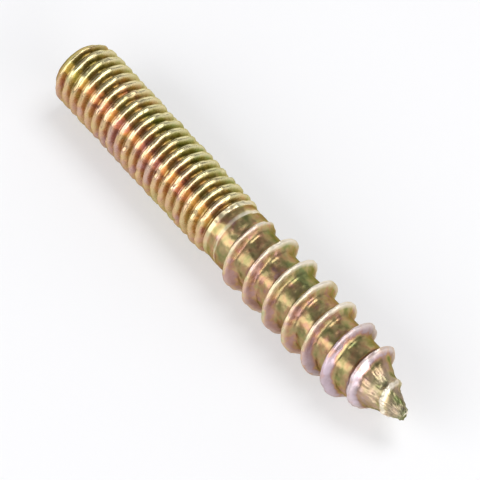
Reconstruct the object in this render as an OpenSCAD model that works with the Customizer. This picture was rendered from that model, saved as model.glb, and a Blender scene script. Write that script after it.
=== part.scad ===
// Dowel screw: a machine thread on one end, a wood thread with a gimlet point
// on the other, and a short plain shank between them. It is one piece of steel.
// It lies on its side. The screw's axis runs along X, with the flat end at -X
// and the point at +X, and the origin is on the ground under its middle.
// Both threads are right-handed.

/* [Machine thread] */
// Outside diameter, over the crests of the machine thread
stud_d = 5.84; // [5.6:0.02:6.2]
// Depth of the machine thread's groove, from crest to root
stud_groove_depth = 0.54; // [0.4:0.02:0.7]
// Distance from one machine crest to the next
stud_pitch = 1; // [0.8:0.05:1.25]
// Length from the flat end to the plain shank
stud_len = 21.2; // [10:0.1:40]
// Width across the top of a machine crest
stud_crest_w = 0.16; // [0.08:0.02:0.2]
// Width across the bottom of the machine groove
stud_groove_w = 0.2; // [0.1:0.02:0.25]
// Length over which the machine groove fades out towards the shank
stud_fade = 0.9; // [0.6:0.1:2]
// Angle round the axis at which a machine crest starts on the flat end
stud_turn = 60; // [0:5:355]

/* [Flat end] */
// Length of the bevel round the flat end
end_bevel = 0.7; // [0.4:0.1:1.2]
// Depth of the bevel, from the crests in to the flat end face
end_bevel_depth = 0.57; // [0.3:0.01:0.9]

/* [Shank] */
// Diameter of the plain shank, the rod that both threads are rolled from
shank_d = 5.32; // [5.1:0.02:5.5]
// Length of the plain shank
shank_len = 0.8; // [0.6:0.1:10]

/* [Wood thread] */
// Outside diameter, over the crests of the wood thread
wood_d = 6.4; // [5.8:0.05:7]
// Diameter of the round core between the ridges
core_d = 4.65; // [3.8:0.05:5]
// Distance from one wood crest to the next
wood_pitch = 2.6; // [2:0.1:3.2]
// Length from the plain shank to the tip of the point
wood_len = 21.5; // [16:0.1:60]
// Width across the top of a wood crest
wood_crest_w = 0.14; // [0.08:0.02:0.3]
// Width across the foot of a ridge, where it meets the core
ridge_w = 1.3; // [0.9:0.05:1.6]
// Width of the ridge at the hollow of its flanks
ridge_waist_w = 0.6; // [0.4:0.05:0.8]
// Length over which the ridge rises out of the shank
ridge_rise = 1.2; // [0.8:0.1:3]
// Angle round the axis at which a wood crest would start on the flat end
wood_turn = 245; // [0:5:355]

/* [Point] */
// Length of the cone that the core ends in
point_len = 4.9; // [4:0.1:8]
// Length over which the crests come down to the tip
crest_taper = 5.5; // [4.5:0.1:9]
// Diameter of the blunt tip
tip_d = 0.7; // [0.3:0.05:1]

/* [Hidden] */
// Flat facets round each thread, in fours so that it lies on a flat
stud_facets = 24;
wood_facets = 28;
shank_facets = 96;
// Share of the ridge's height that is left at the hollow of its flanks
waist_share = 0.4;
// How far a thread's plain root reaches into the shank, and lies under its skin
root_reach = 0.25;
root_inset = 0.02;
// The nearest that a row of points comes to the end of its thread
row_gap = 0.03;
// Plain run between a thread and the shank, as long as one step between its rows
stud_gap = 0.4 * stud_pitch;
wood_gap = (wood_pitch - ridge_w) / 4 + wood_pitch / wood_facets;
shank_start = stud_len;
shank_end = stud_len + shank_len;
screw_len = shank_end + wood_len;
root_r = shank_d / 2 - root_inset;
axis_height = max(wood_d, stud_d) / 2 * cos(180 / wood_facets);

// Share of the way from a to b, held between 0 and 1
function share(x, a, b) = min(1, max(0, (x - a) / (b - a)));
function blend(a, b, t) = a + (b - a) * t;

// Distance along the axis to the middle of the nearest crest
function off_crest(x, pitch) = abs(x - pitch * round(x / pitch));

// Height of the machine ridge at a distance from its crest, from 0 to 1
function stud_ridge(off) = 1 - share(off, stud_crest_w / 2, (stud_pitch - stud_groove_w) / 2);

// Height of the wood ridge, which has hollow flanks, from 0 to 1
function wood_ridge(off) =
    off < ridge_waist_w / 2
    ? blend(1, waist_share, share(off, wood_crest_w / 2, ridge_waist_w / 2))
    : waist_share * (1 - share(off, ridge_waist_w / 2, ridge_w / 2));

// Radius of the machine thread at x from the flat end, off from its crest
function stud_r(x, off) =
    let (
        thread = stud_d / 2 - stud_groove_depth * (1 - stud_ridge(off)),
        bevel = stud_d / 2 - end_bevel_depth * (1 - share(x, 0, end_bevel)),
        fade_end = shank_start - stud_gap
    )
    min(bevel, blend(root_r, thread, share(x, fade_end, fade_end - stud_fade)));

// Radius of the wood thread at x from the flat end, off from its crest
function wood_r(x, off) =
    let (
        rise_start = shank_end + wood_gap,
        rise = share(x, rise_start, rise_start + ridge_rise),
        core = min(blend(root_r, core_d / 2, rise),
                   blend(tip_d / 2, core_d / 2, share(x, screw_len, screw_len - point_len))),
        crest = min(blend(root_r, wood_d / 2, rise),
                    blend(tip_d / 2, wood_d / 2, share(x, screw_len, screw_len - crest_taper)))
    )
    core + wood_ridge(off) * max(0, crest - core);

function thread_r(x, off, is_wood) = is_wood ? wood_r(x, off) : stud_r(x, off);

// A threaded length as one closed skin. The rows of points follow the helix,
// one for each corner of the ridge's section, and where a row would run past
// an end it is held there.
module thread(x_from, x_to, pitch, turn, corners, facets, is_wood) {
    first_turn = floor(x_from / pitch) - 2;
    last_turn = ceil(x_to / pitch) + 1;
    rows = [for (n = [first_turn : last_turn]) for (c = corners) n * pitch + c];
    per_turn = len(corners);

    function angle(k) = (k + 0.5) * 360 / facets;
    function lead(k) = pitch * (angle(k) + turn) / 360;
    function held(x) = x < x_from + row_gap ? x_from : x > x_to - row_gap ? x_to : x;
    function place(k, row) =
        let (
            x = held(row + lead(k)),
            r = thread_r(x, off_crest(x - lead(k), pitch), is_wood)
        )
        [x, r * cos(angle(k)), r * sin(angle(k))];

    low = [for (k = [0 : facets - 1]) len([for (v = rows) if (held(v + lead(k)) <= x_from) 1]) - 1];
    high = [for (k = [0 : facets - 1]) len([for (v = rows) if (held(v + lead(k)) < x_to) 1])];
    function at(k, j) = k * len(rows) + max(low[k], min(high[k], j));

    skin = [
        for (k = [0 : facets - 1])
        let (next = (k + 1) % facets, step = next == 0 ? per_turn : 0)
        for (j = [-per_turn : len(rows) - 1])
        let (a = at(k, j), b = at(k, j + 1), c = at(next, j + step), d = at(next, j + 1 + step))
        each concat(a == b ? [] : [[a, b, c]], c == d ? [] : [[b, d, c]])
    ];
    start_face = [for (k = [0 : facets - 1]) at(k, low[k])];
    end_face = [for (k = [facets - 1 : -1 : 0]) at(k, high[k])];
    points = [for (k = [0 : facets - 1]) for (v = rows) place(k, v)];
    polyhedron(points = points, faces = concat([start_face, end_face], skin), convexity = 12);
}

module machine_thread() {
    crest = stud_crest_w / 2;
    groove = (stud_pitch - stud_groove_w) / 2;
    thread(0, shank_start + root_reach, stud_pitch, stud_turn,
           [-groove, -crest, crest, groove], stud_facets, false);
}

module wood_thread() {
    crest = wood_crest_w / 2;
    waist = ridge_waist_w / 2;
    foot = ridge_w / 2;
    middle = wood_pitch / 2;
    halfway = (foot + middle) / 2;
    thread(shank_end - root_reach, screw_len, wood_pitch, wood_turn,
           [-halfway, -foot, -waist, -crest, crest, waist, foot, halfway, middle],
           wood_facets, true);
}

module shank() {
    translate([shank_start, 0, 0])
        rotate([0, 90, 0])
            cylinder(d = shank_d, h = shank_len, $fn = shank_facets);
}

module dowel_screw() {
    color([0.72, 0.66, 0.36])
        translate([-screw_len / 2, 0, axis_height])
            union() {
                machine_thread();
                shank();
                wood_thread();
            }
}

dowel_screw();
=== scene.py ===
# %% [markdown]
# # A dowel screw in yellow zinc
# The real screw is one steel rod. Dies roll a machine thread on one end and a
# wood thread with a gimlet point on the other, and the whole of it is then
# dipped in yellow zinc, which leaves a glossy skin with patches of olive,
# green, rose and gold.
#
# The solid model of the screw is loaded first and never moved. Its box is kept,
# since the screw's length and the height of its axis are read from it.

# %% Load the solid model
import math

import bpy
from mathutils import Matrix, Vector


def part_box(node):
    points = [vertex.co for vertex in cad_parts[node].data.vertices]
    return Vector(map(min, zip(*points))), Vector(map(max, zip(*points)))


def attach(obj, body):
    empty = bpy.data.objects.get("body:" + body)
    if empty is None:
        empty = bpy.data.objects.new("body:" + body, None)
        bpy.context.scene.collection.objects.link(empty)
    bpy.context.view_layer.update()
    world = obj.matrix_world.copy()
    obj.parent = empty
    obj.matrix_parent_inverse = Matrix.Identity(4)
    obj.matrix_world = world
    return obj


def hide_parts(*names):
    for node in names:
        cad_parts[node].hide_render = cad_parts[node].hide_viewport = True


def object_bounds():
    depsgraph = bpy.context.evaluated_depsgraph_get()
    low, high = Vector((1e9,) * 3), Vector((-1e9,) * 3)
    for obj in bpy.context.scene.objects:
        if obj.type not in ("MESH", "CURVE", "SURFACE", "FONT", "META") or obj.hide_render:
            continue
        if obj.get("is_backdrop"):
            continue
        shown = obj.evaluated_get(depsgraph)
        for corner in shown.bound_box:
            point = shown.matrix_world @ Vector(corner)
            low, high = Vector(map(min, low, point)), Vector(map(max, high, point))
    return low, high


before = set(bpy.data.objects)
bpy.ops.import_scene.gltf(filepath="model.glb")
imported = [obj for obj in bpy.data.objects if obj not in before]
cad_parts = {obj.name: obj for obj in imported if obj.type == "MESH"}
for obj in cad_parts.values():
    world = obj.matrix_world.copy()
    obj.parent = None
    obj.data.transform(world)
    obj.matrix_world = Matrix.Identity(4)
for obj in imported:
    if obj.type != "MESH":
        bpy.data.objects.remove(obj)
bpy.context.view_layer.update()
MM = 0.001


def sides_in_mm(low, high):
    """A box's three sides in millimetres, to be printed."""
    return [round((b - a) / MM, 2) for a, b in zip(low, high)]


node_low, node_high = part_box("dowel_screw")
print("solid screw, mm:", sides_in_mm(node_low, node_high))

# %% [markdown]
# ## Sizes
# A real screw is made from a drawing in millimetres, and so is this one. A last
# step turns it into Blender's metres. The length and the height of the axis
# could be typed in as well, but they are read from the solid model, so that the
# two can't drift apart. Every size becomes a named input of the node tree.

# %% Sizes of the screw, in millimetres and in turns
SCREW_LENGTH = (node_high[0] - node_low[0]) / MM
AXIS_HEIGHT = (node_high[2] + node_low[2]) / 2 / MM
SIZES = {
    "Screw Length": SCREW_LENGTH,
    "Axis Height": AXIS_HEIGHT,
    "Stud End": 20.8,
    "Stud Diameter": 5.84,
    "Stud Groove Depth": 0.54,
    "Stud Pitch": 1.0,
    "Stud Turn": 60 / 360,
    "Stud Crest Width": 0.2,
    "Stud Groove Width": 0.12,
    "Stud Fade": 0.9,
    "End Bevel": 0.7,
    "End Bevel Depth": 0.57,
    "Shank Diameter": 5.32,
    "Wood Start": 22.4,
    "Wood Diameter": 6.4,
    "Core Diameter": 4.65,
    "Wood Pitch": 2.6,
    "Wood Turn": 245 / 360,
    "Wood Crest Width": 0.2,
    "Ridge Width": 1.4,
    "Ridge Rise": 1.2,
    "Point Length": 4.9,
    "Crest Taper": 5.5,
    "Tip Diameter": 0.7,
}
print("sizes:", len(SIZES), "length", round(SCREW_LENGTH, 2), "axis height", round(AXIS_HEIGHT, 3))

# %% [markdown]
# ## Arithmetic that builds nodes
# A thread is a rule: the radius at any place follows from how far along and how
# far round the rod it is. Geometry Nodes can hold that rule, but dozens of Math
# nodes written one by one are hard to read. A small class lets the rule be
# written as sums, and each sum adds its Math node to the tree.

# %% A value in a node tree
class Value:
    """One socket's number. Sums with it add Math nodes to its tree."""

    def __init__(self, tree, socket):
        self.tree, self.socket = tree, socket

    def math(self, operation, *others):
        node = self.tree.nodes.new("ShaderNodeMath")
        node.operation = operation
        for place, value in zip(node.inputs, (self, *others)):
            if isinstance(value, Value):
                self.tree.links.new(value.socket, place)
            else:
                place.default_value = value
        return Value(self.tree, node.outputs[0])

    def __add__(self, other):
        return self.math("ADD", other)

    def __sub__(self, other):
        return self.math("SUBTRACT", other)

    def __mul__(self, other):
        return self.math("MULTIPLY", other)

    def __truediv__(self, other):
        return self.math("DIVIDE", other)

    def __rsub__(self, other):
        return self.math("MULTIPLY_ADD", -1.0, other)

    __radd__, __rmul__ = __add__, __mul__

    def held(self, low=0.0, high=1.0):
        """The value, kept between low and high."""
        return self.math("MAXIMUM", low).math("MINIMUM", high)

    def share(self, start, end):
        """How far this value is on its way from start to end, from 0 to 1."""
        return ((self - start) / (end - start)).held()

    def eased(self):
        """A share that starts and ends gently."""
        return self * self * (3 - self * 2)


def between(start, end, share):
    """The place that lies that share of the way from start to end."""
    return start + (end - start) * share


print("a quarter of the way from 2 to 6:", between(2, 6, 0.25))

# %% [markdown]
# ## A helper for nodes
# Every node is made alike: it is added, set, and its inputs are linked or filled
# in. Written out each time, that would hide the screw behind its wiring, so one
# helper does it for the shape and for the finish.

# %% Add a node to a tree
def add_node(tree, kind, inputs=(), **settings):
    """A new node with its settings made and its inputs linked or filled in."""
    node = tree.nodes.new(kind)
    for key, value in settings.items():
        setattr(node, key, value)
    for key, value in dict(inputs).items():
        if isinstance(value, Value):
            tree.links.new(value.socket, node.inputs[key])
        elif isinstance(value, bpy.types.NodeSocket):
            tree.links.new(value, node.inputs[key])
        else:
            node.inputs[key].default_value = value
    return node


print("helper ready in Blender", bpy.app.version_string)

# %% [markdown]
# ## The screw's tree
# All the shape comes out of one node group. Its sizes could be numbers inside
# it, but as named inputs they can be read and changed on the modifier, as the
# settings of the rolling machine can. An input is set by its socket's
# identifier, because a name may occur twice, so the identifiers are kept.

# %% Start the screw's tree
def start_tree(name, inputs):
    """A node group with named sizes: the tree, their sockets' identifiers and their values."""
    tree = bpy.data.node_groups.new(name, "GeometryNodeTree")
    tree.interface.new_socket("Geometry", in_out="INPUT", socket_type="NodeSocketGeometry")
    identifiers = {}
    for key, value in inputs.items():
        socket = tree.interface.new_socket(key, in_out="INPUT", socket_type="NodeSocketFloat")
        socket.default_value = value
        identifiers[key] = socket.identifier
    tree.interface.new_socket("Geometry", in_out="OUTPUT", socket_type="NodeSocketGeometry")
    source = tree.nodes.new("NodeGroupInput")
    return tree, identifiers, {key: Value(tree, source.outputs[key]) for key in inputs}


screw_nodes, size_keys, size = start_tree("rolled_screw", SIZES)
print("named inputs:", len(size_keys))

# %% [markdown]
# ## The screw's skin
# A thread winds, so it can't be turned from a profile. It could be cut into a
# rod with a boolean, but the cut would leave ragged edges in the gloss. A flat
# grid is wrapped round the rod instead. Its columns are lines along the rod, and
# its rows wind with the thread, so that every crest lies on a row and stays
# sharp. One turn moves a row on by one pitch, and the pitch changes from the
# machine thread's to the wood thread's where the shank is plain.

# %% How fine the skin is
COLUMNS = 96
ROWS_PER_TURN = 24
# Turns between the first row and the machine thread's own count, and turns that
# the wood thread's count lags behind it
FIRST_TURN = -3
LAG = 14
wood_turns = (SCREW_LENGTH + SIZES["Wood Pitch"]) / SIZES["Wood Pitch"] - SIZES["Wood Turn"]
TURNS = math.ceil(wood_turns + LAG - FIRST_TURN) + 1
ROWS = TURNS * ROWS_PER_TURN + 1
print("grid:", ROWS, "rows by", COLUMNS, "columns,", TURNS, "turns")

# %% Lay the grid flat
def parts_of(tree, place):
    """The three numbers of a place."""
    split = add_node(tree, "ShaderNodeSeparateXYZ", {0: place})
    return [Value(tree, number) for number in split.outputs]


grid = add_node(screw_nodes, "GeometryNodeMeshGrid", {
    "Size X": ROWS - 1, "Size Y": COLUMNS, "Vertices X": ROWS, "Vertices Y": COLUMNS + 1,
})
flat = add_node(screw_nodes, "GeometryNodeInputPosition").outputs[0]
flat_x, flat_y = parts_of(screw_nodes, flat)[:2]
row = (flat_x + (ROWS - 1) / 2).math("ROUND")
column = (flat_y + COLUMNS / 2).math("ROUND")
print("nodes so far:", len(screw_nodes.nodes))

# %% [markdown]
# ## Where each point goes along and round the rod
# Evenly spread rows would do for the machine thread. A wood crest is narrow and
# its groove is wide, so there the rows crowd towards the crest, which costs
# nothing. The machine thread, the shank and the wood thread each say where a row
# would lie, and the one that is furthest along wins. Beside its place, a point
# also needs its distance from the nearest crest of either thread.

# %% Count the turns
# How much closer the rows stand at a wood crest
CROWDING = 0.7
round_share = column / COLUMNS
angle = round_share * math.tau
turn = row / ROWS_PER_TURN
whole = turn.math("FLOOR")
part = turn - whole
stud_count = size["Stud End"] / size["Stud Pitch"] - size["Stud Turn"]
wood_count = size["Wood Start"] / size["Wood Pitch"] - size["Wood Turn"] + LAG
crowding = (turn + round_share + FIRST_TURN).share(stud_count, wood_count) * CROWDING
crowded = part - (part * math.tau).math("SINE") * crowding / math.tau
count = whole + crowded + round_share + FIRST_TURN
print("nodes so far:", len(screw_nodes.nodes))

# %% Place the rows along the rod
stud_line = (count + size["Stud Turn"]) * size["Stud Pitch"]
shank_share = (count - stud_count) / (wood_count - stud_count)
shank_line = between(size["Stud End"], size["Wood Start"], shank_share)
wood_line = (count + size["Wood Turn"] - LAG) * size["Wood Pitch"]
along = stud_line.math("MAXIMUM", shank_line).math("MAXIMUM", wood_line)
place = along.held(0.0, size["Screw Length"])
off_stud = part.math("MINIMUM", 1 - part) * size["Stud Pitch"]
off_wood = crowded.math("MINIMUM", 1 - crowded) * size["Wood Pitch"]
print("nodes so far:", len(screw_nodes.nodes))

# %% [markdown]
# ## The machine thread
# Dies press a groove into the rod and push the metal up beside it, so the flanks
# are straight and the edges a little round. A bevel at the flat end lets a nut
# start, and beside the shank the groove runs out. A wire-like ridge swept round
# a rod would do neither, so the radius is worked out: the groove takes its depth
# off the crest, and the bevel holds down what stands past it.

# %% The machine end's radius
# How much of a flank is eased; the rest is straight
CREST_ROUNDING = 0.4
stud_top = size["Stud Diameter"] / 2
shank_radius = size["Shank Diameter"] / 2
half_groove = (size["Stud Pitch"] - size["Stud Groove Width"]) / 2
straight = 1 - off_stud.share(size["Stud Crest Width"] / 2, half_groove)
stud_ridge = between(straight, straight.eased(), CREST_ROUNDING)
thread = stud_top - size["Stud Groove Depth"] * (1 - stud_ridge)
bevel = stud_top - size["End Bevel Depth"] * (1 - place.share(0.0, size["End Bevel"]))
run_out = place.share(size["Stud End"] - size["Stud Fade"], size["Stud End"]).eased()
stud_radius = between(thread, shank_radius, run_out).math("MINIMUM", bevel)
print("nodes so far:", len(screw_nodes.nodes))

# %% [markdown]
# ## The wood thread and its point
# A wood thread is a thin ridge on a slim core, wide at its foot so that it bites
# without snapping. Its flanks are hollow, and core and ridge close in two cones
# of their own, so the ridge climbs down the point. Straight flanks would look
# like a machine thread's, so the share of the way up is raised to a power.
# Smooth Minimum rounds the corner where the cones begin.

# %% The wood end's radius
FLANK_HOLLOW = 2.1
POINT_ROUNDING = 0.15
tip_radius = size["Tip Diameter"] / 2
to_tip = size["Screw Length"] - place
rise = place.share(size["Wood Start"], size["Wood Start"] + size["Ridge Rise"]).eased()


def down_to_tip(full_radius, cone_length):
    """A radius that leaves the shank's for its own and ends in a cone."""
    cone = between(tip_radius, full_radius, to_tip / cone_length)
    return between(shank_radius, full_radius, rise).math("SMOOTH_MIN", cone, POINT_ROUNDING)


core = down_to_tip(size["Core Diameter"] / 2, size["Point Length"])
crest = down_to_tip(size["Wood Diameter"] / 2, size["Crest Taper"])
wood_flank = off_wood.share(size["Wood Crest Width"] / 2, size["Ridge Width"] / 2)
wood_ridge = (1 - wood_flank).math("POWER", FLANK_HOLLOW)
wood_radius = core + wood_ridge * (crest - core).math("MAXIMUM", 0.0)
print("nodes so far:", len(screw_nodes.nodes))

# %% [markdown]
# ## One radius for the whole rod
# The two ends are rolled into the same rod, so no seam divides them. Two objects
# would need to be joined. Here every point takes the machine end's radius or the
# wood end's, and the change lies in the middle of the shank, where both are the
# same.

# %% Join the two ends in the middle of the shank
on_wood = place.math("GREATER_THAN", (size["Stud End"] + size["Wood Start"]) / 2)
ridge = between(stud_ridge, wood_ridge, on_wood)
clean_radius = between(stud_radius, wood_radius, on_wood)
print("nodes so far:", len(screw_nodes.nodes))

# %% [markdown]
# ## Dents, nicks and a chipped point
# Such screws are plated and packed by the thousand, so they knock against each
# other. The rod has shallow dents, the crests have a few nicks, and the thin
# point is chipped all round. They could be sculpted, but a script can't repeat
# a hand. Noise moves the points in and out instead. It is read on a plain
# cylinder, so that the thread doesn't stretch it.

# %% Noise
NOISE_MIDDLE = 0.5


def noise(tree, where, scale, detail=2.0, roughness=0.5):
    """Soft patches from 0 to 1; scale is how many fit in one unit of length."""
    node = add_node(tree, "ShaderNodeTexNoise", {
        "Vector": where, "Scale": scale, "Detail": detail, "Roughness": roughness,
    })
    return Value(tree, node.outputs["Fac"])


def swing(tree, where, scale, detail, roughness=0.5):
    """Noise that swings as far below 0 as above it."""
    return noise(tree, where, scale, detail, roughness) - NOISE_MIDDLE


print("noise swings by", NOISE_MIDDLE, "either way")

# %% Dents and nicks
# How many of each fit in a millimetre, and how much finer detail they have
DENTS = (1.0, 3.0)
FINE_DENTS = (2.2, 2.0)
NICKS = (0.7, 1.0)
# Depths in millimetres
PLAIN_DENT = 0.2
POINT_DENT = 0.6
FINE_DENT = 0.32
NICK_DEPTH = 0.12
# Noise between these levels is a nick's edge
NICK_LEVELS = (0.54, 0.7)
# The last millimetres, which are chipped the most, and the share of the way to
# them at which the fine chips are at their deepest
CHIPPED_TIP = 1.5
FINE_FROM = 0.3


def at_xyz(tree, x, y, z):
    """Three numbers as one place."""
    return add_node(tree, "ShaderNodeCombineXYZ", {"X": x, "Y": y, "Z": z}).outputs[0]


cylinder = at_xyz(screw_nodes, place, angle.math("COSINE") * stud_top, angle.math("SINE") * stud_top)
near_tip = place.share(size["Screw Length"] - size["Point Length"], size["Screw Length"] - CHIPPED_TIP)
dent = swing(screw_nodes, cylinder, *DENTS) * between(PLAIN_DENT, POINT_DENT, near_tip)
chips = swing(screw_nodes, cylinder, *FINE_DENTS) * near_tip.share(0.0, FINE_FROM) * FINE_DENT
off_ends = place.share(0.0, size["End Bevel"]) * (1 - near_tip)
nick = noise(screw_nodes, cylinder, *NICKS).share(*NICK_LEVELS) * ridge * off_ends * NICK_DEPTH
worn_radius = clean_radius + (dent + chips) - nick
print("nodes so far:", len(screw_nodes.nodes))

# %% [markdown]
# ## Closing the two ends
# The rod is sheared off at its flat end, which leaves a face that is a little
# hollow, and it ends in a small blunt tip. The wound rows run past both ends.
# They could be cut off and the holes filled, but the fill would meet the thread
# in long thin faces. So those rows close the end themselves: ring by ring they
# step in from its rim to its middle.

# %% Rings that close the ends
END_RINGS = 8
TIP_RINGS = 4
# Keeps the change from ring to ring off the seam, where rounding would open it
SEAM_CLEAR = 0.1
END_HOLLOW = 0.12


def closing(past, step, rings):
    """Share of the radius that is left on an end face, in whole rings from its rim to its middle."""
    return 1 - (past / step + SEAM_CLEAR).math("FLOOR").held(0.0, rings) / rings


stud_step = size["Stud Pitch"] / ROWS_PER_TURN
wood_step = size["Wood Pitch"] * ((1 + CROWDING) / ROWS_PER_TURN)
end_left = closing(along * -1, stud_step, END_RINGS)
tip_left = closing(along - size["Screw Length"], wood_step, TIP_RINGS)
radius = worn_radius * end_left * tip_left
hollow = (1 - end_left * end_left) * END_HOLLOW
print("nodes so far:", len(screw_nodes.nodes))

# %% [markdown]
# ## From the flat grid to a closed skin
# Now every point's place is known, and the grid is moved there, with its middle
# over the origin, as the solid lies. Its two long edges meet in a seam. Left
# open, the seam would show as a line in the gloss, so Merge by Distance closes
# it. Wound this way the faces look inward, so they are flipped. The height
# between groove and crest is stored on each point, because the zinc needs it.

# %% Wind the grid
# Points that are closer than this are the same point
CLOSED = 0.0005 * MM
# The flat end's face has no thread, and is marked as this far up a ridge
END_FACE_HEIGHT = 0.6
spot = at_xyz(
    screw_nodes,
    (place - size["Screw Length"] / 2 + hollow) * MM,
    radius * angle.math("COSINE") * MM,
    (radius * angle.math("SINE") + size["Axis Height"]) * MM,
)
# The height is stored before the points move, since it counts in the flat grid's places
marked = add_node(screw_nodes, "GeometryNodeStoreNamedAttribute", {
    "Geometry": grid.outputs["Mesh"], "Name": "ridge_height",
    "Value": between(END_FACE_HEIGHT, ridge, along.math("GREATER_THAN", 0.0)),
}, data_type="FLOAT", domain="POINT")
wound = add_node(screw_nodes, "GeometryNodeSetPosition", {"Geometry": marked.outputs[0], "Position": spot})
print("nodes so far:", len(screw_nodes.nodes))

# %% Close the seam and face outward
joined = add_node(screw_nodes, "GeometryNodeMergeByDistance", {
    "Geometry": wound.outputs[0], "Distance": CLOSED,
})
outward = add_node(screw_nodes, "GeometryNodeFlipFaces", {"Mesh": joined.outputs[0]})
smooth = add_node(screw_nodes, "GeometryNodeSetShadeSmooth", {"Geometry": outward.outputs[0]})
print("nodes so far:", len(screw_nodes.nodes))

# %% [markdown]
# ## Yellow zinc
# The plating is thin enough to show the colours of a soap film: olive over most
# of the screw, with drifts of green, rose and gold that run from one thread to
# the next. A single brass tone would look like paint, and a picture wrapped
# round the rod would smear on the flanks. So the colour is worked out at each
# place from noise, from the place on the screw and from the height on the
# thread, and it comes out of one ramp of film colours.

# %% Start the plating
zinc = bpy.data.materials.new("yellow_zinc")
zinc.use_nodes = True
zinc_nodes = zinc.node_tree
zinc_nodes.nodes.clear()
where = add_node(zinc_nodes, "ShaderNodeTexCoord").outputs["Object"]
lengthwise, across = parts_of(zinc_nodes, where)[:2]
ridge_mark = add_node(zinc_nodes, "ShaderNodeAttribute", attribute_name="ridge_height")
height = Value(zinc_nodes, ridge_mark.outputs["Fac"])
print("plating nodes so far:", len(zinc_nodes.nodes))

# %% [markdown]
# ## Where on the screw the finish changes
# The stud, the wood end, its last rings and the point have each taken the finish
# in their own way, and so has the low side. They could be separate materials,
# but then a hard line would run between them. Instead each is a share that rises
# from 0 to 1 over some millimetres.

# %% Where on the screw the finish changes
# Each pair is where a change begins and where it is complete, in millimetres
# from the screw's middle
WOOD_END = (-2.2, 0.4)
LOW_SIDE = (1.2, -2.8)
ROSY_STRETCH = (-11.5, -5.5)
RINGS_BEGIN = (12.4, 13.6)
RINGS_END = (19.2, 18.0)
BARE_POINT = (16.5, 18.5)
POINT = (18.0, 19.2)
# And this one is a height between groove and crest
RING_FOOT = (0.05, 0.4)


def stretch(value, start, end):
    """The share of the way between two places in millimetres."""
    return value.share(start * MM, end * MM)


on_wood_end = stretch(lengthwise, *WOOD_END)
low_side = stretch(across, *LOW_SIDE)
rosy = stretch(lengthwise, *ROSY_STRETCH)
bare_point = stretch(lengthwise, *BARE_POINT)
point = stretch(lengthwise, *POINT)
last_rings = stretch(lengthwise, *RINGS_BEGIN) * stretch(lengthwise, *RINGS_END) * height.share(*RING_FOOT)
# 1 half way up a ridge, 0 in the groove and on the crest
flank = height * (1 - height) * 4
print("plating nodes so far:", len(zinc_nodes.nodes))

# %% [markdown]
# ## The film's colour
# The bath drains off a screw as it is lifted out, and the film is thickest where
# it ran last. Slow noise makes the drifts, and finer noise mottles them, more on
# the wood end. The low side is rosier than the top, and the flat end and the
# point are greener than the rest. Each of these moves the colour along the ramp.
# They stop short of lavender, which is left to the last two rings of the wood
# thread.

# %% The film's colour
# Places on the ramp, from green to lavender
FILM_COLOURS = [
    (0.14, (0.28, 0.36, 0.12)),
    (0.28, (0.46, 0.43, 0.14)),
    (0.44, (0.66, 0.55, 0.27)),
    (0.58, (0.70, 0.45, 0.20)),
    (0.70, (0.66, 0.35, 0.24)),
    (0.82, (0.56, 0.34, 0.36)),
    (0.94, (0.62, 0.50, 0.60)),
]
MIDDLE_SHADE, LAST_SHADE = 0.34, 0.78
# Patches in a metre, detail and roughness
DRIFTS = (170.0, 3.0, 0.6)
MOTTLES = (900.0, 2.0, 0.6)
# How far along the ramp the colour is moved by each of them, by the low side of
# the stud, of a wood flank and of the wood core, and by the places named above
DRIFT = 1.3
STUD_MOTTLE, WOOD_MOTTLE = 0.6, 1.5
LOW_STUD, LOW_FLANK, LOW_CORE = 0.3, 0.2, 0.08
ROSY_SHIFT, WOOD_SHIFT, POINT_SHIFT, RING_SHIFT = 0.07, 0.02, 0.28, 0.4


def ramp(tree, factor, stops):
    """A colour that changes gently from stop to stop."""
    node = add_node(tree, "ShaderNodeValToRGB", {"Fac": factor})
    node.color_ramp.interpolation = "B_SPLINE"
    elements = node.color_ramp.elements
    while len(elements) < len(stops):
        elements.new(1.0)
    for element, (position, colour) in zip(elements, stops):
        element.position = position
        element.color = (*colour, 1)
    return node.outputs[0]


drift = swing(zinc_nodes, where, *DRIFTS) * DRIFT
mottle = swing(zinc_nodes, where, *MOTTLES) * between(STUD_MOTTLE, WOOD_MOTTLE, on_wood_end)
drained = low_side * between(LOW_STUD, flank * LOW_FLANK + LOW_CORE, on_wood_end)
shade = drift + mottle + drained + rosy * ROSY_SHIFT + on_wood_end * WOOD_SHIFT - point * POINT_SHIFT
shade = (shade + MIDDLE_SHADE).held(0.0, LAST_SHADE)
film = ramp(zinc_nodes, shade + last_rings * RING_SHIFT, FILM_COLOURS)
print("plating nodes so far:", len(zinc_nodes.nodes))

# %% [markdown]
# ## Smudges, painted shade and rubbed crests
# The film has brown smudges. The grooves are darkened with painted shade, the
# low flanks of the wood thread are stained and darkened with painted shade, and
# the crests are rubbed thin and made paler, partly as a painted highlight. A dirt
# map painted by hand would take hours and fit only this screw. The stored height
# tells groove from crest, and three mixes lay these over the film one after
# another.

# %% Mix two colours
# Sockets of the Mix node when it mixes colours
MIX_SHARE, FIRST_COLOUR, SECOND_COLOUR, MIXED_COLOUR = 0, 6, 7, 2


def colour_mix(tree, kind, share, first, second):
    """The second colour laid over the first, or multiplied into it, by that share."""
    inputs = {MIX_SHARE: share, FIRST_COLOUR: first, SECOND_COLOUR: second}
    node = add_node(tree, "ShaderNodeMix", inputs, data_type="RGBA", blend_type=kind)
    return node.outputs[MIXED_COLOUR]


print("the mixed colour comes out of socket", MIXED_COLOUR)

# %% Brown smudges, and stain with painted shade on the low flanks
SMUDGE_AND_SHADE_COLOUR = (0.52, 0.43, 0.38, 1)
# Patches in a metre, detail and roughness, and the levels between which a patch fades in
SMUDGES, SMUDGE_LEVELS = (620.0, 3.0, 0.65), (0.6, 0.38)
SPOTS, SPOT_LEVELS = (1100.0, 2.0), (0.5, 0.64)
STUD_SMUDGE, WOOD_SMUDGE = 0.3, 0.65
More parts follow.
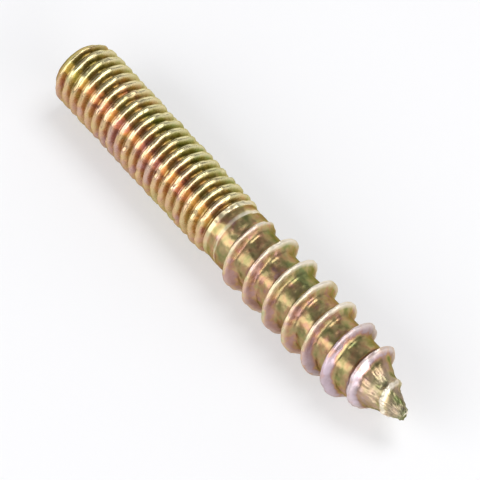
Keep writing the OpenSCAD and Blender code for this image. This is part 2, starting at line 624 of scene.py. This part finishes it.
# The part of a smudge that is missing on a crest
CREST_CLEAN = 0.6
# How much the low flanks of the wood end are darkened, partly a stain and partly painted shade
FLANK_STAIN_AND_SHADE = 0.35
POINT_BROWN = 0.8
smudge = noise(zinc_nodes, where, *SMUDGES).share(*SMUDGE_LEVELS) * (1 - height * CREST_CLEAN)
spots = noise(zinc_nodes, where, *SPOTS).share(*SPOT_LEVELS)
dirt_and_flank_shade = smudge * between(STUD_SMUDGE, WOOD_SMUDGE, on_wood_end)
# Painted shade, with a stain: the low flanks of the wood thread are darkened
dirt_and_flank_shade = dirt_and_flank_shade + flank * low_side * on_wood_end * (1 - last_rings) * FLANK_STAIN_AND_SHADE
dirt_and_flank_shade = dirt_and_flank_shade + spots * point * POINT_BROWN
smudged_and_shaded = colour_mix(zinc_nodes, "MULTIPLY", dirt_and_flank_shade.held(), film, SMUDGE_AND_SHADE_COLOUR)
print("plating nodes so far:", len(zinc_nodes.nodes))

# %% Painted shade in the grooves
# The painted shade in the bottom of a groove, and the height at which it has gone
PAINTED_GROOVE_SHADES = [(0.0, (0.34, 0.27, 0.16)), (0.6, (1.0, 1.0, 1.0))]
# How strongly the painted shade shows on the stud, on the wood end and on the low side
STUD_GROOVE, WOOD_GROOVE, LOW_GROOVE = 1.0, 0.75, 0.55
groove = ramp(zinc_nodes, height, PAINTED_GROOVE_SHADES)
groove_share = between(between(STUD_GROOVE, WOOD_GROOVE, on_wood_end), LOW_GROOVE, low_side)
# Painted shade: the film is darkened towards the bottom of each groove
groove_shaded = colour_mix(zinc_nodes, "MULTIPLY", groove_share, smudged_and_shaded, groove)
print("plating nodes so far:", len(zinc_nodes.nodes))

# %% Rubbed crests, made paler partly as a painted highlight
# Pale crest colours: worn plating, and partly a painted highlight that widens and whitens the crest lines
STUD_BRIGHT = (0.84, 0.76, 0.48, 1)
WOOD_BRIGHT = (0.92, 0.84, 0.73, 1)
# Patches in a metre, and the levels between which a patch fades in
RUB_SHEEN_PATCHES, RUB_SHEEN_LEVELS = 500.0, (0.15, 0.5)
BARE_SPOTS, BARE_LEVELS = 900.0, (0.35, 0.6)
RUB_SHEEN_HEIGHT = (0.5, 0.9)
# How far a crest is rubbed and made paler, partly as a painted highlight, on the stud, on the wood end and
# on the low side
STUD_RUB_SHEEN, WOOD_RUB_SHEEN, LOW_RUB_SHEEN = 0.8, 0.95, 0.25
# The part of the rub and of the painted highlight that is missing on the last rings
RINGS_CLEAN = 0.5
WOOD_END_RUB, POINT_RUB = 0.06, 0.2
crest_wear_and_sheen = height.share(*RUB_SHEEN_HEIGHT) * noise(zinc_nodes, where, RUB_SHEEN_PATCHES).share(*RUB_SHEEN_LEVELS)
side_wear_and_sheen = between(between(STUD_RUB_SHEEN, WOOD_RUB_SHEEN, on_wood_end), LOW_RUB_SHEEN, low_side)
bare = bare_point * noise(zinc_nodes, where, BARE_SPOTS).share(*BARE_LEVELS) * POINT_RUB
wear_and_sheen = crest_wear_and_sheen * side_wear_and_sheen * (1 - last_rings * RINGS_CLEAN) + on_wood_end * WOOD_END_RUB + bare
bright = colour_mix(zinc_nodes, "MIX", on_wood_end, STUD_BRIGHT, WOOD_BRIGHT)
# The base colour carries the painted shade in the grooves and on the low flanks, and the painted highlight
# on the crests
film_with_painted_light = colour_mix(zinc_nodes, "MIX", wear_and_sheen.held(), groove_shaded, bright)
print("plating nodes so far:", len(zinc_nodes.nodes))

# %% [markdown]
# ## Gloss and fine marks
# Fresh zinc is glossy but not a mirror: it has a fine grain and small pits, and
# the dies leave faint marks round the rod. Modelled, they would need millions of
# faces. A Bump node bends the light instead. The marks are noise that is
# stretched round the rod, since it changes quickly only along it.

# %% Gloss
# Specks in a metre
GRAINS = 2500.0
# What each adds to the roughness
GRAIN_DULL, PLAIN_DULL, POINT_DULL = 0.2, 0.18, 0.07
CORE_DULL, CREST_DULL = 0.07, 0.17
DULL_HEIGHT = (0.4, 0.9)
grain = noise(zinc_nodes, where, GRAINS)
wood_dull = on_wood_end * between(CORE_DULL, CREST_DULL, height.share(*DULL_HEIGHT))
roughness = grain * GRAIN_DULL + PLAIN_DULL + wood_dull + point * POINT_DULL
print("plating nodes so far:", len(zinc_nodes.nodes))

# %% Pits and rolling marks
# Pits and marks in a metre, and how much finer detail the pits have
PITS, MARKS = (1300.0, 1.0), 4000.0
ROUND_THE_ROD = (1.0, 0.15, 0.15)
GRAIN_HEIGHT, MARK_HEIGHT = 0.4, 0.35
BUMP_STRENGTH = 0.5
BUMP_DEPTH = 0.08 * MM
pits = noise(zinc_nodes, where, *PITS)
stretched = add_node(zinc_nodes, "ShaderNodeVectorMath", {0: where, 1: ROUND_THE_ROD}, operation="MULTIPLY")
marks = noise(zinc_nodes, stretched.outputs[0], MARKS)
bump = add_node(zinc_nodes, "ShaderNodeBump", {
    "Strength": BUMP_STRENGTH, "Distance": BUMP_DEPTH,
    "Height": pits + grain * GRAIN_HEIGHT + marks * MARK_HEIGHT,
})
print("plating nodes so far:", len(zinc_nodes.nodes))

# %% Finish the plating
# The colour that a grazing reflection takes, which is deeper than bare metal's
GRAZING_TINT = (0.62, 0.56, 0.30, 1)
shader = add_node(zinc_nodes, "ShaderNodeBsdfPrincipled", {
    "Base Color": film_with_painted_light, "Metallic": 1.0, "Specular Tint": GRAZING_TINT,
    "Roughness": roughness, "Normal": bump.outputs[0],
})
add_node(zinc_nodes, "ShaderNodeOutputMaterial", {"Surface": shader.outputs[0]})
print("plating nodes:", len(zinc_nodes.nodes))

# %% [markdown]
# ## Make the screw
# The tree is finished with the two nodes that an export needs, so that it gives
# real geometry in its own material. It could stay on the screw as a modifier,
# but other programs can't read one. An empty object carries it just long enough
# to give its result, which becomes a plain mesh. That mesh takes the solid's
# place and rides with its body.

# %% Finish the tree
real = add_node(screw_nodes, "GeometryNodeRealizeInstances", {"Geometry": smooth.outputs[0]})
dressed = add_node(screw_nodes, "GeometryNodeSetMaterial", {"Geometry": real.outputs[0], "Material": zinc})
tree_end = screw_nodes.nodes.new("NodeGroupOutput")
screw_nodes.links.new(dressed.outputs[0], tree_end.inputs[0])
print("tree nodes:", len(screw_nodes.nodes))


# %% Turn the tree into a mesh
def put_in_scene(name, data):
    """A new object that holds the data."""
    thing = bpy.data.objects.new(name, data)
    bpy.context.scene.collection.objects.link(thing)
    return thing


def made_mesh(name, tree, identifiers, values):
    """The tree's result as a plain mesh on an object of its own."""
    maker = put_in_scene(name + "_maker", bpy.data.meshes.new(name + "_maker"))
    modifier = maker.modifiers.new("nodes", "NODES")
    modifier.node_group = tree
    for key, value in values.items():
        modifier[identifiers[key]] = float(value)
    evaluated = maker.evaluated_get(bpy.context.evaluated_depsgraph_get())
    mesh = bpy.data.meshes.new_from_object(evaluated)
    mesh.name = name
    bpy.data.objects.remove(maker)
    return put_in_scene(name, mesh)


screw = made_mesh("zinc_dowel_screw", screw_nodes, size_keys, SIZES)
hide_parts("dowel_screw")
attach(screw, "root")
triangles = sum(len(face.vertices) - 2 for face in screw.data.polygons)
print("screw:", len(screw.data.vertices), "points,", triangles, "triangles")

# %% [markdown]
# ## Floor
# The screw lies on a white sheet. In a studio the sheet is lit so strongly that
# it comes out almost white, but lamps as strong as that would bleach the zinc.
# So the sheet also glows a little by itself, but only for the rays that see it,
# directly, in a reflection or through something clear. The screw's shadow stays,
# and the lamps can be weaker.

# %% White sheet
SHEET_COLOUR = (0.88, 0.88, 0.90, 1)
SHEET_ROUGHNESS = 0.7
GLOW_COLOUR = (1, 1, 1, 1)
GLOW_SHARE = 0.35
SEEING_RAYS = ("Is Camera Ray", "Is Glossy Ray", "Is Transmission Ray")
paper = bpy.data.materials.new("white_sheet")
paper.use_nodes = True
paper_nodes = paper.node_tree
paper_nodes.nodes.clear()
sheet = add_node(paper_nodes, "ShaderNodeBsdfPrincipled", {
    "Base Color": SHEET_COLOUR, "Roughness": SHEET_ROUGHNESS,
})
glow = add_node(paper_nodes, "ShaderNodeEmission", {"Color": GLOW_COLOUR, "Strength": 1.0})
ray = add_node(paper_nodes, "ShaderNodeLightPath")
direct, mirrored, passed = [Value(paper_nodes, ray.outputs[kind]) for kind in SEEING_RAYS]
seen = (direct + mirrored + passed).held() * GLOW_SHARE
both = add_node(paper_nodes, "ShaderNodeMixShader", {0: seen, 1: sheet.outputs[0], 2: glow.outputs[0]})
add_node(paper_nodes, "ShaderNodeOutputMaterial", {"Surface": both.outputs[0]})
print("sheet nodes:", len(paper_nodes.nodes))

# %% Lay the sheet under the screw
FLOOR_HALF = 1.5
CORNERS = ((-1, -1), (1, -1), (1, 1), (-1, 1))
floor_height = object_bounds()[0][2]
floor_mesh = bpy.data.meshes.new("floor")
floor_corners = [(x * FLOOR_HALF, y * FLOOR_HALF, floor_height) for x, y in CORNERS]
floor_mesh.from_pydata(floor_corners, [], [(0, 1, 2, 3)])
floor = put_in_scene("floor", floor_mesh)
floor_mesh.materials.append(paper)
floor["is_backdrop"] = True
print("floor at", round(floor_height / MM, 3), "mm")

# %% [markdown]
# ## Lamps
# A polished thread shows little but what it reflects, so the lamps are large
# soft boxes, as a product photographer would use. Small bright lamps would give
# hard dots. They stand where the photograph's highlights say that its lights
# were: a window, a box in front, a small one overhead and a pale backdrop. A dim
# grey room fills the rest.

# %% Directions round the screw
def direction(azimuth, elevation):
    """Towards a place seen from the screw, as the camera's angles are given."""
    a, e = math.radians(azimuth), math.radians(elevation)
    return Vector((math.sin(a) * math.cos(e), -math.cos(a) * math.cos(e), math.sin(e)))


def stand_back(thing, target, azimuth, elevation, distance):
    """Put a lamp or a camera that far from its target, and turn it to it."""
    back = direction(azimuth, elevation)
    thing.location = target + back * distance
    thing.rotation_euler = (-back).to_track_quat("-Z", "Y").to_euler()


print("straight up:", [round(number, 3) for number in direction(0, 90)])


# %% Soft boxes
# Azimuth and elevation in degrees, then distance, width and depth in metres, and radiance
SOFT_BOXES = {
    "window": (-8, 33, 0.7, 1.1, 0.46, 2.5),
    "front": (95, 17, 0.8, 0.9, 0.42, 4.1),
    "overhead": (170, 66, 0.6, 0.32, 0.32, 4.6),
    "backdrop": (214, 14, 1.0, 1.8, 0.42, 0.95),
}
ORIGIN = Vector((0, 0, 0))
for name, (azimuth, elevation, distance, width, depth, radiance) in SOFT_BOXES.items():
    light = bpy.data.lights.new(name, "AREA")
    light.shape = "RECTANGLE"
    light.size, light.size_y = width, depth
    light.energy = radiance * math.pi * width * depth
    stand_back(put_in_scene(name, light), ORIGIN, azimuth, elevation, distance)
    print("soft box", name, round(light.energy, 2), "W")

# %% Grey room
ROOM_COLOUR = (0.24, 0.24, 0.245, 1)
room = bpy.data.worlds.new("studio")
room.use_nodes = True
room_light = room.node_tree.nodes["Background"]
room_light.inputs["Color"].default_value = ROOM_COLOUR
room_light.inputs["Strength"].default_value = 1.0
bpy.context.scene.world = room
print("room grey:", ROOM_COLOUR[0])

# %% [markdown]
# ## Camera
# The photograph looks down on the screw from the side of its point, and the
# screw's sides stay nearly parallel, as they do through a long lens. A camera
# without perspective would look drawn, so this one stands well back, and its
# lens is as long as the width of the frame asks for. The colours are shown as
# they are, in the Standard view.

# %% Camera
AZIMUTH, ELEVATION = 53.9, 51.8
DISTANCE = 0.9
FRAME_WIDTH = 0.038
SENSOR_WIDTH = 36
NEAREST, FURTHEST = 0.05, 10
camera_data = bpy.data.cameras.new("camera")
camera_data.sensor_width = SENSOR_WIDTH
camera_data.lens = SENSOR_WIDTH * DISTANCE / FRAME_WIDTH
camera_data.clip_start, camera_data.clip_end = NEAREST, FURTHEST
camera = put_in_scene("camera", camera_data)
low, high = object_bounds()
stand_back(camera, (low + high) / 2, AZIMUTH, ELEVATION, DISTANCE)
bpy.context.scene.camera = camera
bpy.context.scene.view_settings.view_transform = "Standard"
print("lens", round(camera_data.lens), "mm")
